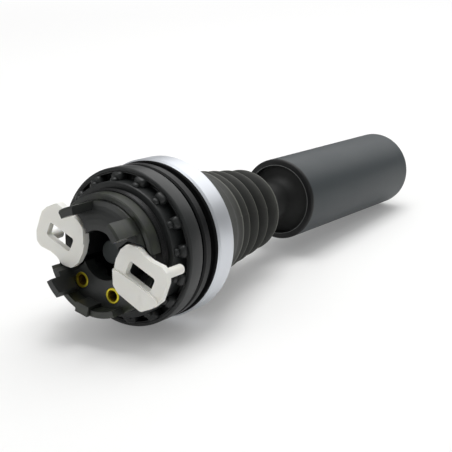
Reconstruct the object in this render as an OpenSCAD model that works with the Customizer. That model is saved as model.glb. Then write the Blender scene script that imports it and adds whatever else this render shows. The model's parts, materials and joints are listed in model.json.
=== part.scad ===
// Two-way spring-return joystick for a 22.5 mm panel hole, seen from behind the panel.
// +Y is the stick, pointing at the operator. Y = 0 is the gasket face that meets the panel.
// Sketches are drawn as [x, up] and extruded along Y, as they look from behind the panel.

/* [Panel fixing] */
// Diameter of the threaded neck that passes through the panel hole
neck_d = 22; // [21.6:0.1:22.2]
// Wall of the neck
neck_wall = 1.4; // [1.2:0.1:1.8]
// Threaded neck left showing behind the nut
neck_spare = 1.4; // [1:0.1:5]
// Sheet thickness between the gasket and the thrust washer
panel_t = 1; // [0.8:0.1:6]
// Gasket thickness that stands out behind the bezel
gasket_t = 0.8; // [0.6:0.1:1.5]
// Step from the bezel's edge in to the gasket's edge
gasket_inset = 0.6; // [0.4:0.1:1.2]

/* [Bezel and front housing] */
// Width of panel that the bezel covers round the neck
bezel_lap = 3.9; // [3.7:0.1:5]
// Width of the bezel band
bezel_h = 4.8; // [4.4:0.1:7]
// Wall of the bezel band
bezel_wall = 1.1; // [0.9:0.1:1.3]
// Thickness of the housing flange inside the bezel
flange_t = 3.6; // [3.4:0.1:4]
// Thickness of the gate plate that keeps the stick in one plane
gate_t = 1.2; // [1:0.1:1.4]

/* [Washer and ring nut] */
// Step from the bezel's edge in to the washer's edge
washer_inset = 0.45; // [0.2:0.05:1.2]
// Thickness of the thrust washer
washer_t = 2; // [1.5:0.1:3]
// Step from the bezel's edge in to the edge of the nut's rim
nut_inset = 0.4; // [0.2:0.05:0.9]
// Width of the nut's rim
nut_rim_w = 3.5; // [2.5:0.1:5]
// Height of the land that holds the rim clear of the washer
nut_land_h = 0.7; // [0.4:0.1:1.2]
// Wall of the nut's rear collar
nut_collar_wall = 1.3; // [1.2:0.05:1.6]
// Height of the nut's rear collar
nut_collar_h = 2.2; // [2:0.1:3]
// Grip ribs round the collar
nut_ribs = 16; // [12:1:18]
// Width of a grip rib
rib_w = 2; // [1.6:0.1:2.4]
// Height of a grip rib above the collar
rib_h = 1.3; // [1.1:0.05:1.5]
// Width of the lip round the groove in the nut's rear face
nut_lip_w = 1; // [0.8:0.05:1.2]
// Depth of the groove in the nut's rear face
nut_groove = 1.5; // [0.8:0.1:1.6]

/* [End cap] */
// Depth of the end cap behind the neck
cap_h = 2.5; // [2:0.1:4]
// Step from the neck's edge in to the end cap's edge
cap_inset = 0.2; // [0:0.05:0.4]
// Width of the flat rim round the cap
cap_rim_w = 1.15; // [0.8:0.05:1.4]
// Height of the dome on the upper half
dome_h = 1.3; // [0.8:0.1:2]
// Height of the lip below the inserts
lip_h = 2.7; // [2:0.1:4]
// Angle that the lip spans
lip_span = 76; // [60:1:84]
// Diameter of the middle opening
cap_hole_d = 9.2; // [9:0.1:9.6]
// Length of the three latch arms
arm_len = 5.9; // [4:0.1:9]
// Radial thickness of a latch arm
arm_t = 1.5; // [1.2:0.1:1.8]
// Step from the cap's edge in to the latch arms
arm_inset = 1.2; // [1:0.05:1.4]
// Angle that a latch arm spans
arm_span = 20; // [14:1:24]
// Distance between the two threaded inserts
insert_pitch = 7.2; // [6.8:0.1:7.4]
// Height of the inserts above the lowest point of the neck's bore
insert_lift = 3.2; // [3:0.1:3.4]
// Outside diameter of a threaded insert
insert_d = 2.9; // [2.6:0.1:3.2]
// Bore of a threaded insert
insert_bore_d = 1.6; // [1.4:0.1:1.7]
// Length of a threaded insert
insert_len = 4; // [3:0.1:4.4]

/* [Stick] */
// Largest tilt to each side in degrees
tilt = 15; // [8:1:15]
// Distance of the pivot pin behind the gasket face
pivot_depth = 4; // [3.6:0.1:4.4]
// Diameter of the pivot pin
pin_d = 2.4; // [2:0.1:2.6]
// Diameter of the rod
rod_d = 4.4; // [4.2:0.1:4.6]
// Length of the rod behind the pivot pin
tail_len = 7.1; // [6:0.1:7.2]
// Diameter of the rod's shoulder under the grip
shoulder_d = 6; // [5.6:0.1:6.4]
// Start of the shoulder in front of the gasket face
shoulder_y = 24; // [20:0.5:26]
// Half the distance between the rocker's two noses
rocker_r = 4.9; // [4.8:0.05:5]
// Radius of a rocker nose
nose_r = 0.9; // [0.8:0.05:0.95]
// Wire diameter of the centring spring
spring_wire = 0.8; // [0.6:0.1:1]
// Mean diameter of the centring spring
spring_d = 8.8; // [8.6:0.1:9.4]
// Turns of the centring spring
spring_turns = 5; // [4:1:6]

/* [Bellows] */
// Outside radius of the first fold
fold_r_low = 10.6; // [10.2:0.05:11.2]
// Outside radius of the last fold
fold_r_high = 8.4; // [8.3:0.05:9]
// Distance of the first fold's crest in front of the bezel
fold_start = 9.8; // [8.5:0.1:10.5]
// Distance between the first two crests
fold_pitch = 3.2; // [2.9:0.1:3.6]
// Growth of the distance from one fold to the next
fold_growth = 0.6; // [0.3:0.1:0.7]
// Folds of the bellows
folds = 5; // [4:1:5]
// Depth of a fold
fold_depth = 2.2; // [1.2:0.05:2.3]
// Wall of the bellows
bellows_wall = 1; // [0.8:0.05:1.1]
// Length of rod left bare between the bellows neck and the lock nut
neck_bare = 1.6; // [1:0.1:8]

/* [Grip] */
// Diameter of the grip
grip_d = 17.5; // [16:0.1:22]
// Length of the grip
grip_len = 48.9; // [40:0.1:60]
// Distance of the grip's open end in front of the bezel
grip_start = 39.5; // [39:0.5:44]
// Wall of the grip shell
grip_wall = 1.1; // [0.9:0.1:1.2]
// Depth of the open skirt of the grip
grip_skirt = 12.9; // [12:0.1:16]
// Height of the lock nut under the grip
lock_nut_h = 3.2; // [2.5:0.1:4]
// Width across flats of the lock nut
lock_nut_af = 8; // [7.5:0.5:9]
// Diameter of the threaded rod end inside the grip
rod_end_d = 5; // [4:0.5:5]

/* [Plungers] */
// Thickness of a plunger plate
plate_t = 1.25; // [1.1:0.05:1.5]
// Extra thickness of the plate below its window
pad_t = 0.35; // [0.2:0.05:0.5]
// Corner radius of the plate outline
plate_corner = 0.9; // [0.5:0.05:1]
// Room between the threaded neck and a plate that is pressed home
plate_gap = 1.15; // [0.6:0.05:1.6]
// Length of the window
window_l = 5.9; // [5.2:0.1:6]
// Width of the window
window_w = 2.75; // [2.4:0.05:2.9]
// Diameter of the stop finger
finger_d = 1.8; // [1.4:0.1:1.8]
// Thickness of the blade that carries the plate
blade_t = 1.4; // [1.2:0.1:1.5]
// Width of the blade
blade_w = 4.4; // [4.2:0.1:5]

/* [Clearances] */
// Radial clearance of pieces that are assembled once
seat_clear = 0.05; // [0.02:0.01:0.08]
// Radial running clearance of the pivot pin
run_clear = 0.04; // [0.02:0.01:0.08]
// Clearance between moving pieces and what they pass
move_clear = 0.4; // [0.3:0.05:0.5]

/* [Hidden] */
$fn = 96;
eps = 0.01;
far = 40;

// Radii
neck_r = neck_d / 2;
bore_r = neck_r - neck_wall;
bezel_r = neck_r + bezel_lap;
flange_r = bezel_r - bezel_wall - seat_clear;
gasket_r = bezel_r - gasket_inset;
washer_r = bezel_r - washer_inset;
nut_r = bezel_r - nut_inset;
nut_bore_r = neck_r + seat_clear;
collar_r = neck_r + nut_collar_wall;
cap_r = neck_r - cap_inset;
arm_r = cap_r - arm_inset;
dome_r = cap_r - cap_rim_w;
cap_hole_r = cap_hole_d / 2;
rod_r = rod_d / 2;
shoulder_r = shoulder_d / 2;
pin_r = pin_d / 2;
grip_r = grip_d / 2;
grip_bore_r = grip_r - grip_wall;
insert_r = insert_d / 2;
insert_drop = bore_r - insert_lift;
spring_r = spring_d / 2;

// Stations along the stick, from the gasket face towards the operator
bezel_rear = gasket_t;
bezel_front = bezel_rear + bezel_h;
flange_front = bezel_rear + flange_t;
grip_rear = bezel_front + grip_start;
grip_front = grip_rear + grip_len;
insert_seat = grip_rear + grip_skirt;
pivot_y = -pivot_depth;

// Stations behind the panel
washer_front = -panel_t;
nut_front = washer_front - washer_t;
rim_front = nut_front - nut_land_h;
rim_rear = rim_front - nut_rim_w;
collar_rear = rim_rear - nut_collar_h;
neck_rear = collar_rear - neck_spare;
cap_rear = neck_rear - cap_h;

// Travel of a plunger when the rocker nose swings through the tilt
travel = rocker_r * tilt * PI / 180;
plate_front = neck_rear - travel - plate_gap;
plate_rear = plate_front - plate_t;
finger_tip = rim_rear - travel - move_clear;

// Gate plate, spring and collar
gate_rear = bezel_rear + 0.4;
gate_front = gate_rear + gate_t;
gate_r = bore_r + 0.7;
gate_slot_w = rod_d + 2 * move_clear;
gate_slot_l = rod_d / cos(tilt) + 2 * move_clear + 2 * (gate_front + pivot_depth) * tan(tilt);
collar_t = 1.5;
spring_top = shoulder_y - collar_t;
collar_flange_r = spring_r + spring_wire / 2 + 0.2;

// Bellows
foot_inner_r = flange_r - 2.4;
crest_y = function(i) bezel_front + fold_start + i * fold_pitch + fold_growth * i * (i - 1) / 2;
crest_r = function(i) fold_r_low + (fold_r_high - fold_r_low) * i / (folds - 1);
last_crest = crest_y(folds - 1);
neck_inner_r = shoulder_r + seat_clear;
neck_outer_r = neck_inner_r + bellows_wall + 0.2;
neck_start = last_crest + 2.4;
neck_end = insert_seat - lock_nut_h - neck_bare;
band_t = 0.5;
band_w = 2.4;

// Plunger plate outline, pad, window and finger of the plunger on the +X side, as shares of
// the neck's radius
plate_outline = neck_r * [[0.327, -0.109], [0.391, -0.327], [0.518, -0.418], [1, -0.527],
    [1.182, -0.391], [1.3, -0.236], [1.341, 0.091], [1.3, 0.255], [1.191, 0.318], [0.973, 0.318],
    [0.836, 0.355], [0.691, 0.436], [0.491, 0.418], [0.382, 0.282], [0.327, 0.091]];
pad_edge = neck_r * [[0, -0.032], [0.59, -0.095], [1.07, -0.177], [1.22, -0.21], [1.285, -0.29],
    [1.29, -0.72], [0, -0.72]];
window_centre = neck_r * [0.836, 0.005];
window_turn = -11;
finger_at = neck_r * [1.227, 0.191];
blade_inner_x = rod_r / cos(tilt) + tail_len * sin(tilt) + 0.3;
tenon_step = 0.2;
tenon_h = plate_t * 0.55;
fork_gap = nose_r + 0.1;
fork_wall = 0.9;
fork_outer_x = rocker_r + nose_r + 0.05 + fork_wall;
fork_inner_x = 3.5;
arm_half_t = 0.45;
nose_half_w = 1.6;

// Unit vector
function unit(v) = v / norm(v);

// Moves every edge of a counter-clockwise outline outwards by d
function grown(p, d) = [for (i = [0:len(p) - 1])
    let (u = unit(p[i] - p[(i + len(p) - 1) % len(p)]), v = unit(p[(i + 1) % len(p)] - p[i]),
        nu = [u.y, -u.x], nv = [v.y, -v.x])
    p[i] + d * (nu + nv) / (1 + nu * nv)];

// Rounds every corner of an outline with an arc of radius r
function rounded(p, r, steps = 6) = [for (i = [0:len(p) - 1])
    let (b = p[i], u = unit(p[(i + len(p) - 1) % len(p)] - b), v = unit(p[(i + 1) % len(p)] - b),
        half = acos(u * v) / 2, centre = b + unit(u + v) * r / sin(half),
        from = b + u * r / tan(half) - centre, to = b + v * r / tan(half) - centre,
        a0 = atan2(from.y, from.x), sweep = (atan2(to.y, to.x) - a0 + 900) % 360 - 180)
    for (k = [0:steps]) centre + r * [cos(a0 + sweep * k / steps), sin(a0 + sweep * k / steps)]];

// Turns [x, up, along] into the frame of the part
module along_y() {
    rotate([-90, 0, 0]) mirror([0, 1, 0]) children();
}

// Ring between two stations along Y, with edges broken by the chamfer c
module ring(outer, inner, rear, front, c = 0) {
    rotate_extrude()
        polygon([[inner, rear], [outer - c, rear], [outer, rear + c], [outer, front - c],
            [outer - c, front], [inner, front]]);
}

// Round bar across the stick, along the up axis, at a station along Y
module cross_bar(r, low, high, station, x = 0) {
    translate([x, low, station]) rotate([-90, 0, 0]) cylinder(r = r, h = high - low);
}

// Box from its lowest to its highest corner
module span(low, high) {
    translate(low) cube(high - low);
}

// Wedge that spreads a span of degrees round an angle, from the stick axis outwards
module wedge(angle, spread) {
    rotate([0, 0, angle]) translate([0, 0, -far]) linear_extrude(height = 2 * far)
        polygon([[0, 0], [far, -far * tan(spread / 2)], [far, far * tan(spread / 2)]]);
}

module front_housing() {
    color("#2b2d2f") along_y() difference() {
        union() {
            ring(neck_r, bore_r, neck_rear, bezel_rear + eps);
            ring(flange_r, bore_r, bezel_rear, flange_front, 0.2);
        }
        translate([0, 0, gate_rear - seat_clear])
            cylinder(r = gate_r + seat_clear, h = far);
        cross_bar(pin_r + run_clear, -far, far, pivot_y);
    }
}

module bezel_ring() {
    color("#c9ccd2") along_y() rotate_extrude()
        polygon([[flange_r + seat_clear, bezel_rear], [bezel_r - 0.35, bezel_rear],
            [bezel_r, bezel_rear + 0.35], [bezel_r, bezel_front - 0.5],
            [bezel_r - 0.15, bezel_front - 0.15], [bezel_r - 0.5, bezel_front],
            [flange_r + seat_clear, bezel_front]]);
}

module panel_gasket() {
    color("#151515") along_y() ring(gasket_r, neck_r + seat_clear, 0, bezel_rear, 0.15);
}

module thrust_washer() {
    color("#26282a") along_y() ring(washer_r, neck_r + seat_clear, nut_front, washer_front, 0.3);
}

// Ring nut: a land, a rim with a groove in its rear face, a rear collar, and grip ribs that stand
// on the collar. Each rib is a block with a small rounded bead behind it.
module ring_nut() {
    rib_turn = atan2(finger_at.y, finger_at.x) + 180 / nut_ribs;
    bead_r = rib_w * 0.3;
    notch = 0.25;
    land_r = nut_r - 1.9;
    floor_y = rim_rear + nut_groove;
    lip_r = nut_r - nut_lip_w;
    color("#3a3d3f") along_y() {
        rotate_extrude()
            polygon([[nut_bore_r, collar_rear], [collar_r - 0.3, collar_rear],
                [collar_r, collar_rear + 0.3], [collar_r, floor_y], [lip_r, floor_y],
                [lip_r, rim_rear + 0.2], [lip_r + 0.2, rim_rear], [nut_r - 0.35, rim_rear],
                [nut_r, rim_rear + 0.35], [nut_r, rim_front - 0.35], [nut_r - 0.35, rim_front],
                [land_r, rim_front], [land_r, nut_front], [nut_bore_r, nut_front]]);
        for (i = [0:nut_ribs - 1]) rotate([0, 0, rib_turn + i * 360 / nut_ribs]) {
            span([collar_r - 0.4, -rib_w / 2, collar_rear + 2 * bead_r + notch],
                [collar_r + rib_h, rib_w / 2, floor_y + eps]);
            translate([collar_r, -rib_w * 0.4, collar_rear + bead_r + 0.02])
                rotate([-90, 0, 0]) cylinder(r = bead_r, h = rib_w * 0.8, $fn = 24);
        }
    }
}

// Sweep of the right-hand plunger plate, with its clearance
module plate_pocket() {
    translate([0, 0, cap_rear - dome_h - far / 2])
        linear_extrude(height = neck_rear - cap_rear + dome_h + far / 2 + eps)
            polygon(grown(plate_outline, move_clear));
}

// Lobes of the end cap behind the neck: a dome and a flat rim above the opening, a flat block
// below it, and a shoulder beside the lower latch arm
module cap_lobes() {
    groove = 0.25;
    dome = [for (k = [0:8]) let (a = 90 * k / 8)
        [cap_hole_r + (dome_r - cap_hole_r) * sin(a), cap_rear - dome_h * cos(a)]];
    rim = [[dome_r, cap_rear + groove], [dome_r + groove, cap_rear + groove],
        [dome_r + groove, cap_rear], [cap_r - 0.2, cap_rear], [cap_r, cap_rear + 0.2],
        [cap_r, cap_rear + 0.6], [cap_hole_r, cap_rear + 0.6]];
    difference() {
        union() {
            ring(cap_r, cap_hole_r, cap_rear + 0.5, neck_rear);
            intersection() {
                rotate_extrude() polygon(concat(dome, rim));
                span([-far, 0, cap_rear - far], [far, far, neck_rear]);
            }
            intersection() {
                ring(cap_r, cap_hole_r, cap_rear, cap_rear + 0.6, 0.2);
                span([-far, -far, cap_rear - far], [far, eps, neck_rear]);
            }
            intersection() {
                ring(arm_r, arm_r - arm_t, cap_rear - arm_len * 0.6, cap_rear + 0.6, 0.35);
                wedge(222, 24);
            }
        }
        for (turn = [0, 180]) rotate([0, 0, turn]) plate_pocket();
    }
}

module end_cap() {
    boss_r = insert_r + 0.75;
    boss_front = cap_rear + insert_len + 0.6;
    block_low = -insert_drop - 1.6;
    nib_w = 2.8;
    nib_rear = cap_rear - lip_h - 0.6;
    color("#333638") along_y() difference() {
        union() {
            cap_lobes();
            ring(bore_r - seat_clear, bore_r - 1.2, neck_rear - eps, neck_rear + 2.4, 0.1);
            for (angle = [55, 125, 235]) intersection() {
                ring(arm_r, arm_r - arm_t, cap_rear - arm_len, cap_rear + 0.6, 0.35);
                wedge(angle, arm_span);
            }
            intersection() {
                ring(cap_r, arm_r, cap_rear - lip_h, cap_rear + 0.6, 0.25);
                wedge(-90, lip_span);
            }
            for (x = [-1, 1]) translate([x * insert_pitch / 2, -insert_drop, cap_rear])
                cylinder(r = boss_r, h = boss_front - cap_rear);
            span([-insert_pitch / 2, block_low, cap_rear], [insert_pitch / 2, -cap_hole_r, neck_rear]);
            span([-nib_w / 2, -cap_r + 0.12, nib_rear], [nib_w / 2, -arm_r + 0.8, cap_rear + 0.5]);
        }
        for (x = [-1, 1]) translate([x * insert_pitch / 2, -insert_drop, cap_rear - 1])
            cylinder(r = insert_r + seat_clear, h = insert_len + 1);
    }
}

module threaded_inserts() {
    color("#c9a227") along_y()
        for (x = [-1, 1]) translate([x * insert_pitch / 2, -insert_drop, 0])
            ring(insert_r, insert_bore_d / 2, cap_rear - 0.1, cap_rear + insert_len - seat_clear, 0.12);
}

// Disc with one slot, which lets the stick swing to the left and to the right only
module gate_plate() {
    color("#8f9396") along_y() difference() {
        ring(gate_r, 0, gate_rear, gate_front, 0.1);
        for (x = [-1, 1]) translate([x * (gate_slot_l - gate_slot_w) / 2, 0, gate_rear - 1])
            cylinder(r = gate_slot_w / 2, h = gate_t + 2, $fn = 48);
        span([-(gate_slot_l - gate_slot_w) / 2, -gate_slot_w / 2, gate_rear - 1],
            [(gate_slot_l - gate_slot_w) / 2, gate_slot_w / 2, gate_front + 1]);
    }
}

// Snap ring over the inner edge of the bellows foot
module bellows_retainer() {
    lip_r = foot_inner_r + 0.7;
    color("#222426") along_y() rotate_extrude()
        polygon([[gate_r - 0.9, gate_front + seat_clear], [gate_r, gate_front + seat_clear],
            [gate_r, flange_front + seat_clear], [foot_inner_r - seat_clear, flange_front + seat_clear],
            [foot_inner_r - seat_clear, bezel_front - 0.4], [lip_r, bezel_front - 0.4 + 0.01],
            [lip_r, bezel_front + 0.2], [gate_r - 0.9, bezel_front + 0.2]]);
}

module pivot_pin() {
    color("#b4b7ba") along_y() cross_bar(pin_r, -neck_r + 0.3, neck_r - 0.3, pivot_y);
}

module pivot_spacers() {
    outer = pin_r + 0.8;
    inner_end = 4.8;
    outer_end = sqrt(pow(bore_r, 2) - pow(outer, 2)) - 0.1;
    color("#d8d6cc") along_y() for (side = [0, 1]) mirror([0, side, 0]) difference() {
        cross_bar(outer, inner_end, outer_end, pivot_y);
        cross_bar(pin_r + run_clear, -far, far, pivot_y);
    }
}

// Coil spring that stands on the gate plate and centres the stick
module centring_spring() {
    sides = 8;
    steps = 16;
    rings = spring_turns * steps;
    wire_r = spring_wire / 2;
    low = gate_front + wire_r + seat_clear;
    rise = spring_top - seat_clear - wire_r - low;
    points = [for (i = [0:rings], j = [0:sides - 1])
        let (a = 360 * i / steps, b = 360 * j / sides, r = spring_r + wire_r * cos(b))
        [r * cos(a), r * sin(a), low + rise * i / rings + wire_r * sin(b)]];
    skin = [for (i = [0:rings - 1], j = [0:sides - 1])
        let (a = i * sides + j, b = i * sides + (j + 1) % sides)
        each [[a, a + sides, b + sides], [a, b + sides, b]]];
    ends = [[for (j = [0:sides - 1]) j], [for (j = [0:sides - 1]) (rings + 1) * sides - 1 - j]];
    color("#9a9da0") along_y() polyhedron(points = points, faces = concat(skin, ends));
}

// Rubber boot: a foot under the bezel edge, a skirt, tapering folds and a neck on the rod
function fold_curve(steps = 8) = [for (i = [0:folds - 1])
    let (y0 = i == 0 ? crest_y(0) - fold_pitch : crest_y(i - 1), y1 = crest_y(i),
        r0 = i == 0 ? crest_r(0) + 0.9 : crest_r(i - 1), r1 = crest_r(i))
    for (k = [1:steps])
        let (s = k / steps)
        [r0 + (r1 - r0) * s - fold_depth * (i == 0 ? 0.6 : 1) * pow(sin(180 * s), 2),
            y0 + (y1 - y0) * s]];

function bellows_outside() = concat(
    [[flange_r, flange_front + seat_clear], [flange_r, bezel_front + 0.1],
        [flange_r - 0.5, bezel_front + 1.2], [flange_r - 1.3, bezel_front + 3.4]],
    fold_curve(),
    [[crest_r(folds - 1) - 0.5, last_crest + 0.6], [neck_outer_r + 0.9, neck_start - 0.5],
        [neck_outer_r, neck_start], [neck_outer_r, neck_end]]);

module bellows() {
    outside = bellows_outside();
    last = len(outside) - 1;
    inside = [for (i = [last:-1:3]) i > last - 2 ? [neck_inner_r, outside[i].y]
        : i > last - 4 ? [max(outside[i].x - bellows_wall, neck_inner_r), outside[i].y - bellows_wall]
        : [outside[i].x - bellows_wall, outside[i].y]];
    foot = [[foot_inner_r + 1, bezel_front + 0.3], [foot_inner_r + 0.9, bezel_front - 0.5],
        [foot_inner_r, bezel_front - 0.5], [foot_inner_r, flange_front + seat_clear]];
    color("#3c3c38") along_y() rotate_extrude() polygon(concat(outside, inside, foot));
}

// Rod with a tail, a shoulder and a threaded end, cross-drilled for the pivot pin
module stick_shaft() {
    rod_top = insert_seat + grip_len * 0.5;
    color("#5a5d60") along_y() difference() {
        union() {
            ring(rod_r, 0, pivot_y - tail_len, shoulder_y, 0.2);
            ring(shoulder_r, 0, shoulder_y - eps, insert_seat - lock_nut_h - seat_clear, 0.2);
            ring(rod_end_d / 2, 0, insert_seat - lock_nut_h - 1, rod_top, 0.3);
        }
        cross_bar(pin_r + run_clear, -far, far, pivot_y);
    }
}

// Cast rocker on the rod: a hub on the pivot pin and two arms that end in round noses
module rocker() {
    hub_r = 3.1;
    hub_half = 4.5;
    color("#a5a8ab") along_y() difference() {
        union() {
            cross_bar(hub_r, -hub_half, hub_half, pivot_y);
            for (side = [-1, 1]) {
                cross_bar(nose_r, -nose_half_w, nose_half_w, pivot_y, side * rocker_r);
                span([min(0, side * rocker_r), -nose_half_w, pivot_y - arm_half_t],
                    [max(0, side * rocker_r), nose_half_w, pivot_y + arm_half_t]);
            }
        }
        cross_bar(pin_r + run_clear, -far, far, pivot_y);
        translate([0, 0, pivot_y - far / 2]) cylinder(r = rod_r + seat_clear, h = far);
    }
}

module spring_collar() {
    color("#b9bcbf") along_y() ring(collar_flange_r, rod_r + seat_clear, spring_top,
        shoulder_y - seat_clear, 0.2);
}

module bellows_band() {
    color("#1f2021") along_y() ring(neck_outer_r + seat_clear + band_t, neck_outer_r + seat_clear,
        neck_start + 0.8, neck_start + 0.8 + band_w, 0.15);
}

module grip_lock_nut() {
    color("#b9bcbf") along_y() difference() {
        intersection() {
            translate([0, 0, insert_seat - lock_nut_h])
                cylinder(r = lock_nut_af / 2 / cos(30), h = lock_nut_h - seat_clear, $fn = 6);
            ring(lock_nut_af / 2 / cos(30), 0, insert_seat - lock_nut_h, insert_seat - seat_clear, 0.5);
        }
        translate([0, 0, insert_seat - far / 2]) cylinder(r = rod_end_d / 2 + seat_clear, h = far);
    }
}

// Moulded core that fills the grip and takes the threaded rod end
module grip_insert() {
    color("#d9d7cf") along_y() difference() {
        ring(grip_bore_r - seat_clear, 0, insert_seat, grip_front - 3, 0.4);
        translate([0, 0, insert_seat - 1])
            cylinder(r = rod_end_d / 2 + seat_clear, h = grip_len * 0.5 + 1 + 0.5);
    }
}

// Hollow grip shell, open towards the panel, with a thin lip at its mouth
module grip_shell() {
    edge = 1.6;
    round_end = [for (k = [0:8]) let (a = 90 * k / 8)
        [grip_r - edge + edge * cos(a), grip_front - edge + edge * sin(a)]];
    color("#46494b") along_y() rotate_extrude()
        polygon(concat([[grip_bore_r + 0.45, grip_rear], [grip_r - 0.25, grip_rear],
            [grip_r, grip_rear + 0.25]], round_end, [[0, grip_front], [0, grip_front - 3 + seat_clear],
            [grip_bore_r, grip_front - 3 + seat_clear], [grip_bore_r, grip_rear + 0.9],
            [grip_bore_r + 0.45, grip_rear + 0.6]]));
}

// Plate of the plunger on the +X side, with its window, its stop finger and a blind pocket for
// the slide's tenon
module plunger_plate() {
    outline = rounded(plate_outline, plate_corner);
    window = rounded([[-window_l, -window_w] / 2, [window_l, -window_w] / 2, [window_l, window_w] / 2,
        [-window_l, window_w] / 2], 0.5);
    tenon_grow = tenon_step - seat_clear;
    difference() {
        union() {
            translate([0, 0, plate_rear]) linear_extrude(height = plate_t) polygon(outline);
            intersection() {
                translate([0, 0, plate_rear - pad_t]) linear_extrude(height = plate_t) polygon(outline);
                translate([0, 0, plate_rear - far / 2]) linear_extrude(height = far) polygon(pad_edge);
            }
        }
        translate([window_centre.x, window_centre.y, plate_rear - 1]) rotate([0, 0, window_turn])
            linear_extrude(height = plate_t + 2) polygon(window);
        span([blade_inner_x + tenon_grow, -blade_w / 2 + tenon_grow, plate_front - tenon_h - seat_clear],
            [blade_inner_x + blade_t - tenon_grow, blade_w / 2 - tenon_grow, plate_front + 1]);
    }
    translate([finger_at.x, finger_at.y, 0]) ring(finger_d / 2, 0, plate_front - 0.5, finger_tip, 0.4);
}

// Slide on the +X side: a blade with a tenon at the plate and a fork round the rocker's nose
module plunger_slide() {
    fork_rear = pivot_y - fork_gap - fork_wall;
    span([blade_inner_x + tenon_step, -blade_w / 2 + tenon_step, plate_front - tenon_h],
        [blade_inner_x + blade_t - tenon_step, blade_w / 2 - tenon_step, plate_front + 0.5]);
    span([blade_inner_x, -blade_w / 2, plate_front], [blade_inner_x + blade_t, blade_w / 2, fork_rear]);
    difference() {
        span([fork_inner_x, -blade_w / 2, fork_rear - 0.5],
            [fork_outer_x, blade_w / 2, pivot_y + fork_gap + fork_wall]);
        span([0, -far, pivot_y - fork_gap], [rocker_r + nose_r + 0.05, far, pivot_y + fork_gap]);
    }
}

module left_plunger() {
    color("#e9e9e4") along_y() rotate([0, 0, 180]) plunger_plate();
}

module right_plunger() {
    color("#e9e9e4") along_y() plunger_plate();
}

module left_slide() {
    color("#26282a") along_y() rotate([0, 0, 180]) plunger_slide();
}

module right_slide() {
    color("#26282a") along_y() plunger_slide();
}

front_housing();
bezel_ring();
panel_gasket();
thrust_washer();
ring_nut();
end_cap();
threaded_inserts();
gate_plate();
bellows_retainer();
pivot_pin();
pivot_spacers();
centring_spring();
bellows();
stick_shaft();
rocker();
spring_collar();
bellows_band();
grip_lock_nut();
grip_insert();
grip_shell();
left_plunger();
right_plunger();
left_slide();
right_slide();
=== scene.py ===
"""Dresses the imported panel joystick: surfaces, moulded detail, finishes, floor, light and camera.

The frame is the part's own: +Y runs along the stick towards the operator, +Z is up, and Y = 0 is
the gasket face that meets the panel. Lengths are metres, and sizes are written in millimetres
through MM.
"""

import json
import logging
import math
from dataclasses import dataclass
from enum import Enum

import bmesh
import bpy
import numpy as np
from mathutils import Matrix, Vector


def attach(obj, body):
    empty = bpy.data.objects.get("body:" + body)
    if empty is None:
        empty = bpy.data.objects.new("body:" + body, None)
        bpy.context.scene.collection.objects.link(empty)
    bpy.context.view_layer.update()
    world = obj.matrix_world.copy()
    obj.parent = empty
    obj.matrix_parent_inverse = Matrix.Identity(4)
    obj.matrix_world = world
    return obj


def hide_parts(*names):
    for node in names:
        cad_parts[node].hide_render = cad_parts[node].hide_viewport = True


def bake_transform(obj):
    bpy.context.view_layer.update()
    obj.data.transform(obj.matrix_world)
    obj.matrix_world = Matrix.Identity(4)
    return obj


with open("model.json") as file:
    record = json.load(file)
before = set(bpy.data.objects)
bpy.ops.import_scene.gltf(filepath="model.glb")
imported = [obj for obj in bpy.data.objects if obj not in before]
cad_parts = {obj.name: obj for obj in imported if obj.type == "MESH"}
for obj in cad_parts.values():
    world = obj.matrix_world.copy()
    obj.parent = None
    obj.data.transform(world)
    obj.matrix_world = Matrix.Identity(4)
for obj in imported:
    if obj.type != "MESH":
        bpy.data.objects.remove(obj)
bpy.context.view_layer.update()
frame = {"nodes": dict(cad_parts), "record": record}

LOG = logging.getLogger("joystick")
MM = 0.001
TAU = 2.0 * math.pi


class Body(Enum):
    """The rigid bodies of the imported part."""

    HOUSING = "housing"
    STICK = "stick"
    LEFT = "plunger_left"
    RIGHT = "plunger_right"


# ---------------------------------------------------------------- small helpers


def linear(code: str) -> tuple[float, float, float, float]:
    """Turns an sRGB hex colour into linear RGBA.

    Args:
        code: colour as "#rrggbb".

    Returns:
        The linear colour with an alpha of 1.
    """
    parts = [int(code[i : i + 2], 16) / 255.0 for i in (1, 3, 5)]
    lin = [c / 12.92 if c <= 0.04045 else ((c + 0.055) / 1.055) ** 2.4 for c in parts]
    return (lin[0], lin[1], lin[2], 1.0)


def node(
    tree: bpy.types.NodeTree, kind: str, settings: dict | None = None, **links: bpy.types.NodeSocket
) -> bpy.types.Node:
    """Adds a shader node with its settings, values and links.

    Args:
        tree: node tree that gets the node.
        kind: Blender's type name of the node.
        settings: properties of the node, and socket values under their names.
        links: socket name, with _ for a space, to the output socket that feeds it.

    Returns:
        The new node.
    """
    made = tree.nodes.new(kind)
    for key, value in (settings or {}).items():
        if key in made.inputs:
            made.inputs[key].default_value = value
        else:
            setattr(made, key, value)
    for key, source in links.items():
        tree.links.new(source, made.inputs[key.replace("_", " ")])
    return made


def principled(name: str) -> tuple[bpy.types.Material, bpy.types.NodeTree, bpy.types.Node]:
    """Starts a material.

    Args:
        name: name of the material.

    Returns:
        The material, its node tree and its Principled node.
    """
    made = bpy.data.materials.new(name)
    made.use_nodes = True
    return made, made.node_tree, made.node_tree.nodes["Principled BSDF"]


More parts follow.
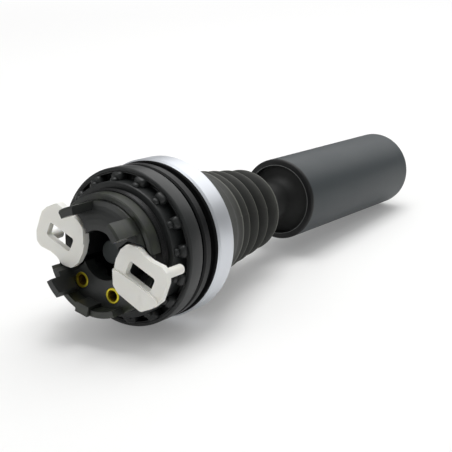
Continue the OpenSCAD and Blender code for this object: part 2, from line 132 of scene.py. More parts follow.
def noise(
    tree: bpy.types.NodeTree,
    place: bpy.types.NodeSocket,
    size_mm: float,
    detail: float,
    roughness: float = 0.5,
) -> bpy.types.NodeSocket:
    """Adds a noise.

    Args:
        tree: the material's node tree.
        place: output that carries the coordinates.
        size_mm: size of its largest patches.
        detail: how many finer layers it has.
        roughness: strength of each finer layer.

    Returns:
        The noise, from 0 to 1.
    """
    settings = {"Scale": 1.0 / (size_mm * MM), "Detail": detail, "Roughness": roughness}
    return node(tree, "ShaderNodeTexNoise", settings, Vector=place).outputs["Fac"]


def ranged(
    tree: bpy.types.NodeTree,
    value: bpy.types.NodeSocket,
    given: tuple[float, float] = (0.0, 1.0),
    wanted: tuple[float, float] = (0.0, 1.0),
) -> bpy.types.NodeSocket:
    """Carries a value from one range over to another, and holds it inside.

    Args:
        tree: the node tree.
        value: output that carries the value.
        given: range that the value has.
        wanted: range that it gets.

    Returns:
        The carried value.
    """
    settings = {"From Min": given[0], "From Max": given[1], "To Min": wanted[0], "To Max": wanted[1]}
    return node(tree, "ShaderNodeMapRange", settings, Value=value).outputs["Result"]


def laid_over(
    tree: bpy.types.NodeTree, amount: bpy.types.NodeSocket, below: bpy.types.NodeSocket, above: str
) -> bpy.types.NodeSocket:
    """Lays a fixed colour over another.

    Args:
        tree: the material's node tree.
        amount: output that says how much of the fixed colour shows.
        below: output that carries the colour below.
        above: the fixed colour, as "#rrggbb".

    Returns:
        The mixed colour.
    """
    mixed = node(tree, "ShaderNodeMix", {"data_type": "RGBA"})
    mixed.inputs[7].default_value = linear(above)
    tree.links.new(amount, mixed.inputs[0])
    tree.links.new(below, mixed.inputs[6])
    return mixed.outputs[2]


def relief(
    tree: bpy.types.NodeTree, skin: bpy.types.Node, height: bpy.types.NodeSocket, depth_mm: float
) -> None:
    """Gives a surface a fine relief.

    Args:
        tree: the material's node tree.
        skin: its Principled node.
        height: output that carries the relief, from 0 to 1.
        depth_mm: depth of the relief.
    """
    bump = node(tree, "ShaderNodeBump", {"Strength": 1.0, "Distance": depth_mm * MM}, Height=height)
    tree.links.new(bump.outputs["Normal"], skin.inputs["Normal"])


def surface(
    name: str, *grids: np.ndarray, close_u: bool = True, smooth_deg: float = 35.0
) -> bpy.types.Object:
    """Makes one mesh of quads from grids of points, each closed along its columns.

    Points that coincide are welded, so a row drawn in to one point closes a pole.

    Args:
        name: name of the object.
        grids: grids of shape (u, v, 3), in metres.
        close_u: whether the last row of each grid joins its first.
        smooth_deg: edges flatter than this angle are shaded smooth.

    Returns:
        The object, linked to the scene.
    """
    mesh = bpy.data.meshes.new(name)
    points, faces, base = [], [], 0
    for grid in grids:
        nu, nv = grid.shape[:2]
        a, b = np.meshgrid(np.arange(nu if close_u else nu - 1), np.arange(nv), indexing="ij")
        a1, b1 = (a + 1) % nu, (b + 1) % nv
        quads = np.stack([a * nv + b, a * nv + b1, a1 * nv + b1, a1 * nv + b], axis=-1).reshape(-1, 4)
        points.extend(grid.reshape(-1, 3).tolist())
        faces.extend((quads + base).tolist())
        base += nu * nv
    mesh.from_pydata(points, [], faces)
    work = bmesh.new()
    work.from_mesh(mesh)
    bmesh.ops.remove_doubles(work, verts=work.verts, dist=1e-7)
    bmesh.ops.recalc_face_normals(work, faces=work.faces)
    for face in work.faces:
        face.smooth = True
    for edge in work.edges:
        edge.smooth = not (edge.is_manifold and edge.calc_face_angle(0.0) > math.radians(smooth_deg))
    work.to_mesh(mesh)
    work.free()
    made = bpy.data.objects.new(name, mesh)
    bpy.context.scene.collection.objects.link(made)
    return made


def around(radius: np.ndarray, station: np.ndarray, angles: np.ndarray) -> np.ndarray:
    """Sets points round the stick axis.

    A point at radius r, station y and angle a lies at (r cos a, y, r sin a).

    Args:
        radius: (n, 1) or (n, m) radii.
        station: (n, 1) stations.
        angles: (m,) angles, in radians.

    Returns:
        Grid of shape (n, m, 3).
    """
    return np.stack([radius * np.cos(angles), station + 0.0 * angles, radius * np.sin(angles)], axis=-1)


def turned(profile: np.ndarray, angles: np.ndarray) -> np.ndarray:
    """Turns a closed profile about the stick axis.

    Args:
        profile: (n, 2) radii and stations, in metres.
        angles: (m,) angles, in radians.

    Returns:
        Grid of shape (n, m, 3).
    """
    return around(profile[:, :1], profile[:, 1:], angles)


def full_turn(count: int = 192) -> np.ndarray:
    """Spreads angles evenly round the axis.

    Args:
        count: how many angles.

    Returns:
        (count,) angles in radians.
    """
    return np.linspace(0.0, TAU, count + 1)[:-1]


def filleted(corners: list[tuple[float, float, float]], steps: int = 5) -> np.ndarray:
    """Rounds the corners of a closed outline with arcs that touch both edges.

    Args:
        corners: radius, station and fillet radius of each corner; a fillet of 0 keeps it sharp.
        steps: spans of each arc.

    Returns:
        (n, 2) points.
    """
    rows = []
    for index, (x, y, fillet) in enumerate(corners):
        here = np.array([x, y])
        if fillet == 0.0:
            rows.append(here)
            continue
        before = np.array(corners[index - 1][:2]) - here
        after = np.array(corners[(index + 1) % len(corners)][:2]) - here
        u, v = before / np.linalg.norm(before), after / np.linalg.norm(after)
        half = 0.5 * math.acos(float(np.clip(u @ v, -1.0, 1.0)))
        reach = fillet / math.tan(half)
        middle = here + (u + v) / np.linalg.norm(u + v) * fillet / math.sin(half)
        first, last = here + u * reach - middle, here + v * reach - middle
        start = math.atan2(first[1], first[0])
        sweep = (math.atan2(last[1], last[0]) - start + math.pi) % TAU - math.pi
        for k in range(steps + 1):
            turn = start + sweep * k / steps
            rows.append(middle + fillet * np.array([math.cos(turn), math.sin(turn)]))
    return np.array(rows)


def threaded(stations: np.ndarray, angles: np.ndarray, pitch: float) -> np.ndarray:
    """Works out how a thread's radius rises and falls: a triangle wave that winds into a helix.

    Args:
        stations: (n, 1) stations.
        angles: (m,) angles, in radians.
        pitch: the thread's pitch, in the stations' unit.

    Returns:
        (n, m) shares of the thread's depth, 0 where the radius is smallest and 1 where it is largest.
    """
    phase = (stations / pitch - angles[None, :] / TAU) % 1.0
    return 1.0 - np.abs(2.0 * phase - 1.0)


def squared(value: np.ndarray, power: float) -> np.ndarray:
    """Raises a sine or cosine to a power and keeps its sign.

    Args:
        value: the sine or cosine.
        power: 1 keeps it, and smaller values square the form up.

    Returns:
        The raised value.
    """
    return np.sign(value) * np.abs(value) ** power


def pebble(
    centre: tuple[float, float], half: tuple[float, float, float], turn: float, power: float = 0.6
) -> np.ndarray:
    """Makes a rounded block that stands on the stick axis's cylinder.

    It is a superellipsoid: each coordinate is the sine or cosine of an ordinary sphere's angle,
    raised to a power below one, which squares the sphere up.

    Args:
        centre: radius and station of the centre, in mm.
        half: half sizes outwards, round the axis and along it, in mm.
        turn: angle of the centre about the axis.
        power: 1 gives an ellipsoid, and smaller values give flatter sides.

    Returns:
        Grid of shape (13, 24, 3), in metres.
    """
    lat, lon = np.linspace(-0.5 * math.pi, 0.5 * math.pi, 13)[:, None], full_turn(24)[None, :]
    lat_cos = np.where(np.abs(np.cos(lat)) < 1e-9, 0.0, squared(np.cos(lat), power))
    out = half[0] * squared(np.sin(lat), power) + 0.0 * lon
    round_axis = half[1] * lat_cos * squared(np.cos(lon), power)
    along = half[2] * lat_cos * squared(np.sin(lon), power)
    r = centre[0] + out
    x = r * math.cos(turn) - round_axis * math.sin(turn)
    z = r * math.sin(turn) + round_axis * math.cos(turn)
    return np.stack([x, centre[1] + along, z], axis=-1) * MM


# ---------------------------------------------------------------- finishes


@dataclass(frozen=True)
class Tone:
    """A second colour laid over a finish, between two radii or two stations of the stick axis."""

    colour: str
    none_mm: float
    full_mm: float
    by_station: bool = False
    patchy: bool = False

    def over(self, tree: bpy.types.NodeTree, colour: bpy.types.NodeSocket) -> bpy.types.NodeSocket:
        """Lays the tone over a colour.

        Args:
            tree: the material's node tree.
            colour: output that carries the colour below.

        Returns:
            The output that carries the two together.
        """
        where = node(tree, "ShaderNodeTexCoord")
        keep = node(tree, "ShaderNodeVectorMath", {"operation": "MULTIPLY"}, Vector=where.outputs["Object"])
        keep.inputs[1].default_value = (0.0, 1.0, 0.0) if self.by_station else (1.0, 0.0, 1.0)
        length = node(tree, "ShaderNodeVectorMath", {"operation": "LENGTH"}, Vector=keep.outputs["Vector"])
        amount = ranged(tree, length.outputs["Value"], (self.none_mm * MM, self.full_mm * MM))
        if self.patchy:
            spots = ranged(tree, noise(tree, where.outputs["Object"], 1.8, 4.0), (0.35, 0.65))
            both = node(tree, "ShaderNodeMath", {"operation": "MULTIPLY"})
            tree.links.new(amount, both.inputs[0])
            tree.links.new(spots, both.inputs[1])
            amount = both.outputs[0]
        return laid_over(tree, amount, colour, self.colour)


@dataclass(frozen=True)
class MouldedPlastic:
    """Injection-moulded plastic: a thin satin skin with a fine spark-eroded grain.

    The grain breaks up the highlight, and a broad, faint unevenness keeps flat faces alive.
    """

    name: str
    colour: str
    roughness: float = 0.45
    ior: float = 1.5
    grain_mm: float = 0.45
    grain_depth_mm: float = 0.012
    mottle: float = 0.06
    subsurface: float = 0.0
    specular: float = 0.5
    tones: tuple[Tone, ...] = ()

    def material(self) -> bpy.types.Material:
        """Builds the material.

        Returns:
            A Principled material with grain on Object coordinates.
        """
        made, tree, skin = principled(self.name)
        base = linear(self.colour)
        skin.inputs["IOR"].default_value = self.ior
        skin.inputs["Specular IOR Level"].default_value = self.specular
        place = node(tree, "ShaderNodeTexCoord").outputs["Object"]
        broad = noise(tree, place, 9.0, 3.0)
        low = tuple(c * (1.0 - self.mottle) for c in base[:3]) + (1.0,)
        high = tuple(min(1.0, c * (1.0 + self.mottle)) for c in base[:3]) + (1.0,)
        tint = node(tree, "ShaderNodeMix", {"data_type": "RGBA"})
        tint.inputs[6].default_value, tint.inputs[7].default_value = low, high
        tree.links.new(broad, tint.inputs[0])
        colour = tint.outputs[2]
        for tone in self.tones:
            colour = tone.over(tree, colour)
        tree.links.new(colour, skin.inputs["Base Color"])
        gloss = ranged(tree, broad, wanted=(self.roughness - 0.05, self.roughness + 0.05))
        tree.links.new(gloss, skin.inputs["Roughness"])
        relief(tree, skin, noise(tree, place, self.grain_mm, 2.0), self.grain_depth_mm)
        if self.subsurface > 0.0:
            skin.inputs["Subsurface Weight"].default_value = self.subsurface
            skin.inputs["Subsurface Radius"].default_value = (1.0, 0.9, 0.7)
            skin.inputs["Subsurface Scale"].default_value = 0.6 * MM
        return made


@dataclass(frozen=True)
class MouldedRubber:
    """Moulded nitrile rubber: matt, with a faint waxy bloom that lightens it in patches.

    On a folded piece the float attribute "crest" is 1 on a crest and 0 in a valley. Valleys get a
    painted shade, and crests a painted highlight along a fine line.
    """

    name: str
    colour: str
    bloom: str
    roughness: float = 0.62
    specular: float = 0.5
    tones: tuple[Tone, ...] = ()
    valley: str = ""
    crest_highlight: str = ""

    def folded(self, tree: bpy.types.NodeTree, colour: bpy.types.NodeSocket) -> bpy.types.NodeSocket:
        """Paints shade into the valleys and a highlight along the crests.

        Args:
            tree: the material's node tree.
            colour: output that carries the rubber's colour.

        Returns:
            The output that carries the shaded colour.
        """
        crest = node(tree, "ShaderNodeAttribute", {"attribute_name": "crest"})
        # painted shade in the valleys, then a painted highlight along the crests
        for hex_code, none, full in ((self.valley, 0.75, 0.0), (self.crest_highlight, 0.86, 1.0)):
            amount = ranged(tree, crest.outputs["Fac"], (none, full))
            colour = laid_over(tree, amount, colour, hex_code)
        return colour

    def material(self) -> bpy.types.Material:
        """Builds the material.

        Returns:
            A rough Principled material with a patchy bloom.
        """
        made, tree, skin = principled(self.name)
        skin.inputs["Roughness"].default_value = self.roughness
        skin.inputs["IOR"].default_value = 1.52
        skin.inputs["Specular IOR Level"].default_value = self.specular
        place = node(tree, "ShaderNodeTexCoord").outputs["Object"]
        tint = node(tree, "ShaderNodeMix", {"data_type": "RGBA"})
        tint.inputs[6].default_value, tint.inputs[7].default_value = linear(self.colour), linear(self.bloom)
        tree.links.new(noise(tree, place, 4.0, 5.0, 0.6), tint.inputs[0])
        colour = tint.outputs[2]
        if self.valley:
            colour = self.folded(tree, colour)
        for tone in self.tones:
            colour = tone.over(tree, colour)
        tree.links.new(colour, skin.inputs["Base Color"])
        relief(tree, skin, noise(tree, place, 0.35, 2.0), 0.01)
        return made


@dataclass(frozen=True)
class TurnedMetal:
    """Metal finished on a lathe: fine lines run round the stick axis and stretch the highlight.

    The lines are a noise that changes quickly along Y and slowly round the axis.
    """

    name: str
    colour: str
    roughness: float
    lines_mm: float = 0.25
    depth_mm: float = 0.003

    def material(self) -> bpy.types.Material:
        """Builds the material.

        Returns:
            A metallic Principled material with turning lines on Object coordinates.
        """
        made, tree, skin = principled(self.name)
        skin.inputs["Metallic"].default_value = 1.0
        skin.inputs["Base Color"].default_value = linear(self.colour)
        place = node(tree, "ShaderNodeTexCoord").outputs["Object"]
        stretch = node(tree, "ShaderNodeMapping", {"Scale": (0.05, 1.0, 0.05)}, Vector=place)
        lines = noise(tree, stretch.outputs["Vector"], self.lines_mm, 3.0)
        gloss = ranged(tree, lines, wanted=(self.roughness - 0.06, self.roughness + 0.06))
        tree.links.new(gloss, skin.inputs["Roughness"])
        relief(tree, skin, lines, self.depth_mm)
        return made


class Finishes:
    """Every finish of the joystick, built once and kept by the record's slot name."""

    def __init__(self) -> None:
        """Builds the materials."""
        cap_bloom = Tone("#2d3126", 8.6, 9.8, patchy=True)
        # painted shade: a darker colour inside the grip's mouth, where shade falls
        grip_bowl_painted_shade = Tone("#1c1d1d", 7.95, 7.8)
        # painted shade: the grip's rear end face and lip made near black, as if unlit
        grip_end_painted_shade = Tone("#0c0d0e", 45.95, 45.6, by_station=True)
        # painted highlight: a pale line on the bead at the grip's lip
        lip_painted_highlight = Tone("#5c5e5d", 45.06, 45.0, by_station=True)
        neck_shade = Tone("#121312", 33.6, 34.6, by_station=True)
        kinds = {
            "black_housing": MouldedPlastic("glass_filled_nylon_black", "#0e0f10", 0.38, specular=0.3),
            "black_washer": MouldedPlastic("nylon_black_washer", "#0f1011", 0.40, specular=0.2),
            "grey_nylon": MouldedPlastic("nylon_charcoal_nut", "#1f2121", 0.42, specular=0.4),
            "black_cap": MouldedPlastic("nylon_charcoal_cap", "#222423", 0.40, tones=(cap_bloom,)),
            "black_nylon": MouldedPlastic("nylon_black_slide", "#151617", 0.45, specular=0.3),
            "grip_plastic": MouldedPlastic(
                "abs_slate_grip",
                "#363c3f",
                0.5,
                grain_mm=0.5,
                grain_depth_mm=0.02,
                specular=0.4,
                # the grip's tones paint shade in its bowl and on its end face, and a highlight on its lip
                tones=(grip_bowl_painted_shade, grip_end_painted_shade, lip_painted_highlight),
            ),
            "white_nylon": MouldedPlastic(
                "nylon_natural_white", "#e9e8e2", 0.40, grain_depth_mm=0.006, mottle=0.012, subsurface=0.25
            ),
            "natural_acetal": MouldedPlastic(
                "acetal_natural", "#dcd9cf", 0.35, mottle=0.015, subsurface=0.15
            ),
            "bellows_rubber": MouldedRubber(
                "nitrile_bellows",
                "#2e2f2d",
                "#3f403c",
                specular=0.35,
                tones=(neck_shade,),
                # painted shade in the fold valleys and a painted highlight on the crests
                valley="#0b0b0b",
                crest_highlight="#5f6059",
            ),
            "black_rubber": MouldedRubber("nitrile_gasket", "#070708", "#0c0c0d", specular=0.1),
            "satin_metal": TurnedMetal("satin_anodised_aluminium", "#d3d6db", 0.46),
            "brass": TurnedMetal("machined_brass", "#cdbd3c", 0.34),
            # painted shade: a darker brass for the inside of the inserts' bores
            "bore_shade_brass": TurnedMetal("brass_with_painted_bore_shade", "#5e4a14", 0.5),
            "zinc_steel": TurnedMetal("zinc_plated_steel", "#bfc2c4", 0.32),
            "spring_steel": TurnedMetal("drawn_spring_wire", "#9da0a3", 0.3),
            "dark_steel": TurnedMetal("blackened_steel", "#3f4242", 0.5),
            "cast_zinc": TurnedMetal("die_cast_zinc", "#a4a6a8", 0.45),
        }
        self.by_slot = {slot: kind.material() for slot, kind in kinds.items()}

    def dress(self, piece: bpy.types.Object, slot: str, finish: str = "") -> bpy.types.Object:
        """Gives a piece the finish of a slot.

        Args:
            piece: mesh object.
            slot: slot name of the record.
            finish: another finish of the same stuff, such as the darker brass that paints a bore's shade,
                in place of the slot's own.

        Returns:
            The piece.
        """
        piece.data.materials.clear()
        piece.data.materials.append(self.by_slot[finish or slot])
        return piece


# ---------------------------------------------------------------- sub-assemblies


@dataclass
class PackedNodes:
    """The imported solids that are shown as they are, each in its slot's finish."""

    finishes: Finishes

    def build(self) -> None:
        """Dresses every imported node."""
        slots = {row["node"]: row["material_slot"] for row in frame["record"]["subparts"]}
        for name, piece in frame["nodes"].items():
            self.finishes.dress(piece, slots[name])
            LOG.info("dressed %s in %s", name, slots[name])


@dataclass
class Bellows:
    """The rubber boot: a foot under the bezel's edge, a skirt, tapering folds and a neck on the rod."""

    finishes: Finishes
    foot_r: float = 13.75
    foot_rear: float = 4.45
    bezel_front: float = 5.6
    foot_inner: tuple[tuple[float, float], ...] = ((12.35, 5.9), (12.25, 5.1), (11.35, 5.1))
    skirt: tuple[tuple[float, float], ...] = (
        (13.45, 6.3),
        (12.9, 7.4),
        (12.2, 8.9),
        (11.65, 10.6),
        (11.25, 12.0),
    )
    crests: tuple[tuple[float, float], ...] = (
        (10.56, 15.4),
        (10.10, 18.3),
        (9.55, 22.3),
        (9.03, 26.6),
        (8.45, 31.4),
    )
    depths: tuple[float, ...] = (0.3, 1.3, 2.3, 3.0, 3.0)
    fold_power: float = 1.6
    valley_power: float = 0.9
    wall: float = 0.8
    inner_start: float = 8.0
    folds_end: float = 32.0
    shoulder_inner: tuple[tuple[float, float], ...] = ((4.4, 32.9), (6.6, 32.2))
    neck_inner_r: float = 3.05
    shoulder: tuple[tuple[float, float], ...] = ((8.2, 32.1), (7.2, 32.9), (5.6, 33.4), (4.5, 33.8))
    neck_outer_r: float = 4.05
    neck_start: float = 34.2
    neck_end: float = 53.15
    cuff_r: float = 7.45
    cuff_start: float = 42.7
    cuff_length: float = 3.6
    cuff_land: float = 0.7
    cuff_back: float = 0.75
    seam_start: float = 7.0
    seam_turn: float = math.radians(29.6)
    seam_spread: float = 0.04
    seam_height: float = 0.07
    seam_width: float = 0.22

    def outside(self) -> np.ndarray:
        """Works out the outer profile.

        Between two crests the radius falls to a valley and rises again: a straight line between
        the crests, less the fold's depth times a power of a sine of the share of the way, which
        leaves a crisp crest. A power of the share puts the valley a little nearer to the fold
        before it. Along the neck a cuff flares on a quarter of an ellipse and closes the mouth of
        the grip.

        Returns:
            (n, 2) radii and stations in mm.
        """
        rows = [(self.foot_r, self.foot_rear), (self.foot_r, self.bezel_front + 0.1), *self.skirt]
        share = np.linspace(0.0, 1.0, 19)[1:]
        before = np.array(rows[-1])
        for crest, depth in zip(self.crests, self.depths):
            line = before + (np.array(crest) - before) * share[:, None]
            line[:, 0] -= depth * np.sin(np.pi * share**self.valley_power) ** self.fold_power
            rows.extend(map(tuple, line))
            before = np.array(crest)
        rows.extend([*self.shoulder, (self.neck_outer_r, self.neck_start)])
        flare = self.cuff_r - self.neck_outer_r
        for turn in np.linspace(0.0, math.pi / 2, 12):
            station = self.cuff_start + self.cuff_length * math.sin(turn)
            rows.append((self.cuff_r - flare * math.cos(turn), station))
        cuff_end = self.cuff_start + self.cuff_length
        rows.append((self.cuff_r, cuff_end + self.cuff_land))
        rows.append((self.neck_outer_r, cuff_end + self.cuff_back))
        rows.append((self.neck_outer_r, self.neck_end))
        return np.array(rows)

    def profile(self) -> np.ndarray:
        """Closes the outer profile with the inner wall.

        Returns:
            (n, 2) closed profile in metres, running so that its faces point outwards.
        """
        outer = self.outside()
        folds = (outer[:, 1] > self.inner_start) & (outer[:, 1] < self.folds_end)
        inner = outer[folds][::-1] - np.array([self.wall, 0.0])
        bore = [(self.neck_inner_r, self.neck_end), (self.neck_inner_r, self.neck_start - 0.2)]
        neck = np.array([*bore, *self.shoulder_inner])
        foot = np.array([*self.foot_inner, (self.foot_inner[-1][0], self.foot_rear)])
        return np.concatenate([outer, neck, inner, foot]) * MM

    def mark_crests(self, boot: bpy.types.Object) -> None:
        """Stores how near each vertex is to a crest, which the painted valley shade and crest highlight
        follow.

        The skirt and the neck get a middle value, which leaves the rubber its own colour.

        Args:
            boot: the made piece.
        """
        stations = np.array([vertex.co.y for vertex in boot.data.vertices]) / MM
        ends = np.array([self.skirt[-1][1]] + [crest[1] for crest in self.crests])
        depths = np.array(self.depths) / max(self.depths)
        fold = np.clip(np.searchsorted(ends, stations) - 1, 0, len(depths) - 1)
        share = np.clip((stations - ends[fold]) / (ends[fold + 1] - ends[fold]), 0.0, 1.0)
        nearness = 1.0 - depths[fold] * np.sin(np.pi * share) ** 0.8
        plain = (stations < ends[1] - 0.4) | (stations > ends[-1] + 0.15)
        nearness[plain] = 0.8
        made = boot.data.attributes.new("crest", "FLOAT", "POINT")
        made.data.foreach_set("value", nearness.astype(np.float32))

    def build(self) -> None:
        """Makes the boot.

        Two moulding seams stand out from its folds, each a Gaussian of the distance from its line.
        """
        close = np.linspace(-self.seam_spread, self.seam_spread, 17)
        seams = [self.seam_turn, self.seam_turn + math.pi]
        angles = np.sort(np.concatenate([full_turn() + 0.0007] + [turn + close for turn in seams]))
        profile = self.profile()[::-1]
        grid = turned(profile, angles)
        lift = np.zeros(grid.shape[:2])
        for turn in seams:
            away = np.sin(angles - turn) * profile[:, :1] / (self.seam_width * MM)
            lift += np.exp(-(away**2)) * (np.cos(angles - turn) > 0.0)
        station = profile[:, 1]
        outside = np.arange(len(profile)) > len(profile) // 2
        folds = (station > self.seam_start * MM) & (station < self.folds_end * MM) & outside
        radial = np.stack([np.cos(angles), 0.0 * angles, np.sin(angles)], axis=-1)
        grid += (lift * folds[:, None])[:, :, None] * radial * self.seam_height * MM
        made = surface("bellows_boot", grid)
        self.mark_crests(made)
        self.finishes.dress(made, "bellows_rubber")
        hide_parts("bellows")
        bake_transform(made)
        LOG.info("bellows with %d folds", len(self.crests))


@dataclass
class NeckThread:
    """The thread on the neck behind the ring nut: a helical ridge on the neck's plain cylinder."""

    finishes: Finishes
    root_r: float = 10.96
    crest_r: float = 11.2
    pitch: float = 0.7
    fade: float = 0.15
    rear: float = -10.75
    front: float = -9.3

    def build(self) -> None:
        """Makes the threaded sleeve.

        The ridge fades out at both ends, and the sleeve's inner wall lies just under the neck's
        surface.
        """
        angles = full_turn()
        stations = np.linspace(self.rear, self.front, 41)[:, None]
        ends = np.clip(np.minimum(stations - self.rear, self.front - stations) / self.fade, 0.0, 1.0)
        ridge = threaded(stations, angles, self.pitch) * ends
        outer = around(self.root_r + (self.crest_r - self.root_r) * ridge, stations, angles)
        skin = np.array([(self.root_r - 0.1, self.front), (self.root_r - 0.1, self.rear)])
        grid = np.concatenate([outer, turned(skin, angles)]) * MM
        made = surface("neck_thread", grid)
        self.finishes.dress(made, "black_housing")
        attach(made, Body.HOUSING.value)
        LOG.info("neck thread")


@dataclass
class CentringSpring:
    """The coil spring under the boot: round wire on a helix, with a flat end coil at each end."""

    finishes: Finishes
    mean_r: float = 4.4
    wire_r: float = 0.4
    rear: float = 2.85
    front: float = 22.0
    turns: float = 7.0
    flat: float = 0.8

    def build(self) -> None:
        """Makes the spring.

        The wire's centre turns about the axis while its station rises evenly between the two end
        coils, which lie flat. Each ring of the tube holds the stick axis in its plane.
        """
        steps, sides = int(self.turns * 36), 10
        share = np.linspace(0.0, 1.0, steps + 1)
        turn = TAU * self.turns * share
        lift = np.clip((share * self.turns - self.flat) / (self.turns - 2.0 * self.flat), 0.0, 1.0)
        station = self.rear + (self.front - self.rear) * lift
        radial = np.stack([np.cos(turn), 0.0 * turn, np.sin(turn)], axis=-1)
        along = np.array([0.0, 1.0, 0.0])
        across = full_turn(sides)[None, :, None]
        centre = self.mean_r * radial + station[:, None] * along
        ring = np.cos(across) * radial[:, None, :] + np.sin(across) * along
        grid = (centre[:, None, :] + self.wire_r * ring) * MM
        caps = [np.repeat(grid[i].mean(axis=0)[None, None, :], sides, axis=1) for i in (0, -1)]
        made = surface("coil_spring", np.concatenate([caps[0], grid, caps[1]]), close_u=False)
        self.finishes.dress(made, "spring_steel")
        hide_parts("centring_spring")
        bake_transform(made)
        LOG.info("centring spring")


@dataclass
class RingNut:
    """The ring nut: a rim with a groove in its rear face, a tall collar, and rounded grip knobs."""

    finishes: Finishes
    bore_r: float = 11.05
    collar_r: float = 12.3
    rim_r: float = 14.5
    lip_r: float = 13.5
    land_r: float = 12.6
    collar_rear: float = -9.4
    rim_rear: float = -7.2
    rim_front: float = -3.7
    nut_front: float = -3.0
    groove_floor: float = -5.7
    knobs: int = 16
    first_knob: float = math.radians(20.1)
    knob_at: tuple[float, float] = (12.72, -7.05)
    knob_half: tuple[float, float, float] = (1.05, 1.18, 1.2)
    bead_at: tuple[float, float] = (12.3, -8.62)
    bead_half: tuple[float, float, float] = (0.62, 0.72, 0.55)
    line: float = 0.12

    def build(self) -> None:
        """Makes the nut, with a fine line in its rim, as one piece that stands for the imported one."""
        line = self.line
        corners = [
            (self.bore_r, self.collar_rear, 0.1),
            (self.collar_r, self.collar_rear, 0.28),
            (self.collar_r, self.groove_floor, 0.25),
            (self.lip_r, self.groove_floor, 0.2),
            (self.lip_r, self.rim_rear, 0.12),
            (self.lip_r + 2.0 * line, self.rim_rear, 0.05),
            (self.lip_r + 2.5 * line, self.rim_rear + line, 0.0),
            (self.lip_r + 3.0 * line, self.rim_rear, 0.05),
            (self.rim_r, self.rim_rear, 0.35),
            (self.rim_r, self.rim_front, 0.35),
            (self.land_r, self.rim_front, 0.1),
            (self.land_r, self.nut_front, 0.1),
            (self.bore_r, self.nut_front, 0.1),
        ]
        grids = [turned(filleted(corners) * MM, full_turn())]
        for index in range(self.knobs):
            turn = self.first_knob + TAU * index / self.knobs
            grids.append(pebble(self.knob_at, self.knob_half, turn))
            grids.append(pebble(self.bead_at, self.bead_half, turn, 0.8))
        made = surface("ring_nut_moulding", *grids)
        self.finishes.dress(made, "grey_nylon")
        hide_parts("ring_nut")
        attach(made, Body.HOUSING.value)
        LOG.info("ring nut with %d knobs", self.knobs)


@dataclass
class PanelGasket:
    """The soft seal behind the bezel, with a rounded outer lip over the bezel's rear face."""

    finishes: Finishes
    bore_r: float = 11.05
    outer_r: float = 14.6
    rear: float = 0.0
    front: float = 0.8
    bead_radii: tuple[float, float] = (12.6, 13.7)
    bead_half: float = 0.3
    bead_height: float = 0.12

    def build(self) -> None:
        """Makes the gasket, with two fine sealing beads on its rear face."""
        face = self.rear + self.bead_height
        corners = [(self.bore_r, face, 0.05)]
        for bead in self.bead_radii:
            corners.append((bead - self.bead_half, face, 0.05))
            corners.append((bead, self.rear, 0.08))
            corners.append((bead + self.bead_half, face, 0.05))
        corners.append((self.outer_r, face, 0.3))
        corners.append((self.outer_r, self.front, 0.15))
        corners.append((self.bore_r, self.front, 0.05))
        made = surface("gasket_lip", turned(filleted(corners) * MM, full_turn()))
        self.finishes.dress(made, "black_rubber")
        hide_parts("panel_gasket")
        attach(made, Body.HOUSING.value)
        LOG.info("panel gasket")


@dataclass
class ThreadedInserts:
    """The two brass inserts in the end cap: a bright flat rim round a threaded bore, whose darker brass is
    painted shade.
    """

    finishes: Finishes
    pitch: float = 7.2
    drop: float = 6.4
    outer_r: float = 1.45
    mouth_r: float = 1.05
    bore_r: float = 0.8
    rear: float = -13.4
    front: float = -9.4
    thread_pitch: float = 0.4
    thread_depth: float = 0.12

    def pair(self, grid: np.ndarray) -> list[np.ndarray]:
        """Sets a grid on both inserts' axes.

        Args:
            grid: grid about the stick axis, in mm.

        Returns:
            Two grids in metres.
        """
        half = 0.5 * self.pitch
        return [(grid + np.array([place, 0.0, -self.drop])) * MM for place in (-half, half)]

    def build(self) -> None:
        """Makes the bright sleeves and the threaded bores inside them, in a darker brass that paints their
        shade.
        """
        angles = full_turn(48)
        wall = self.bore_r + self.thread_depth + 0.06
        corners = [
            (self.outer_r, self.front, 0.1),
            (self.outer_r, self.rear, 0.1),
            (self.mouth_r, self.rear, 0.04),
            (wall, self.rear + 0.25, 0.0),
            (wall, self.front, 0.0),
        ]
        sleeve = surface("brass_inserts", *self.pair(turned(filleted(corners), angles)))
        self.finishes.dress(sleeve, "brass")
        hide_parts("threaded_inserts")
        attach(sleeve, Body.HOUSING.value)
        start, end = self.rear + 0.3, self.front + 0.2
        stations = np.linspace(start, end, 60)[:, None]
        radius = self.bore_r + self.thread_depth * threaded(stations, angles, self.thread_pitch)
        thread = around(radius, stations, angles)
        skin = turned(np.array([(wall - 0.02, end), (wall - 0.02, start)]), angles)
        bore = surface("insert_threads", *self.pair(np.concatenate([thread, skin])))
        # the bores' darker brass paints the shade inside them
        self.finishes.dress(bore, "brass", "bore_shade_brass")
        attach(bore, Body.HOUSING.value)
        LOG.info("threaded inserts")


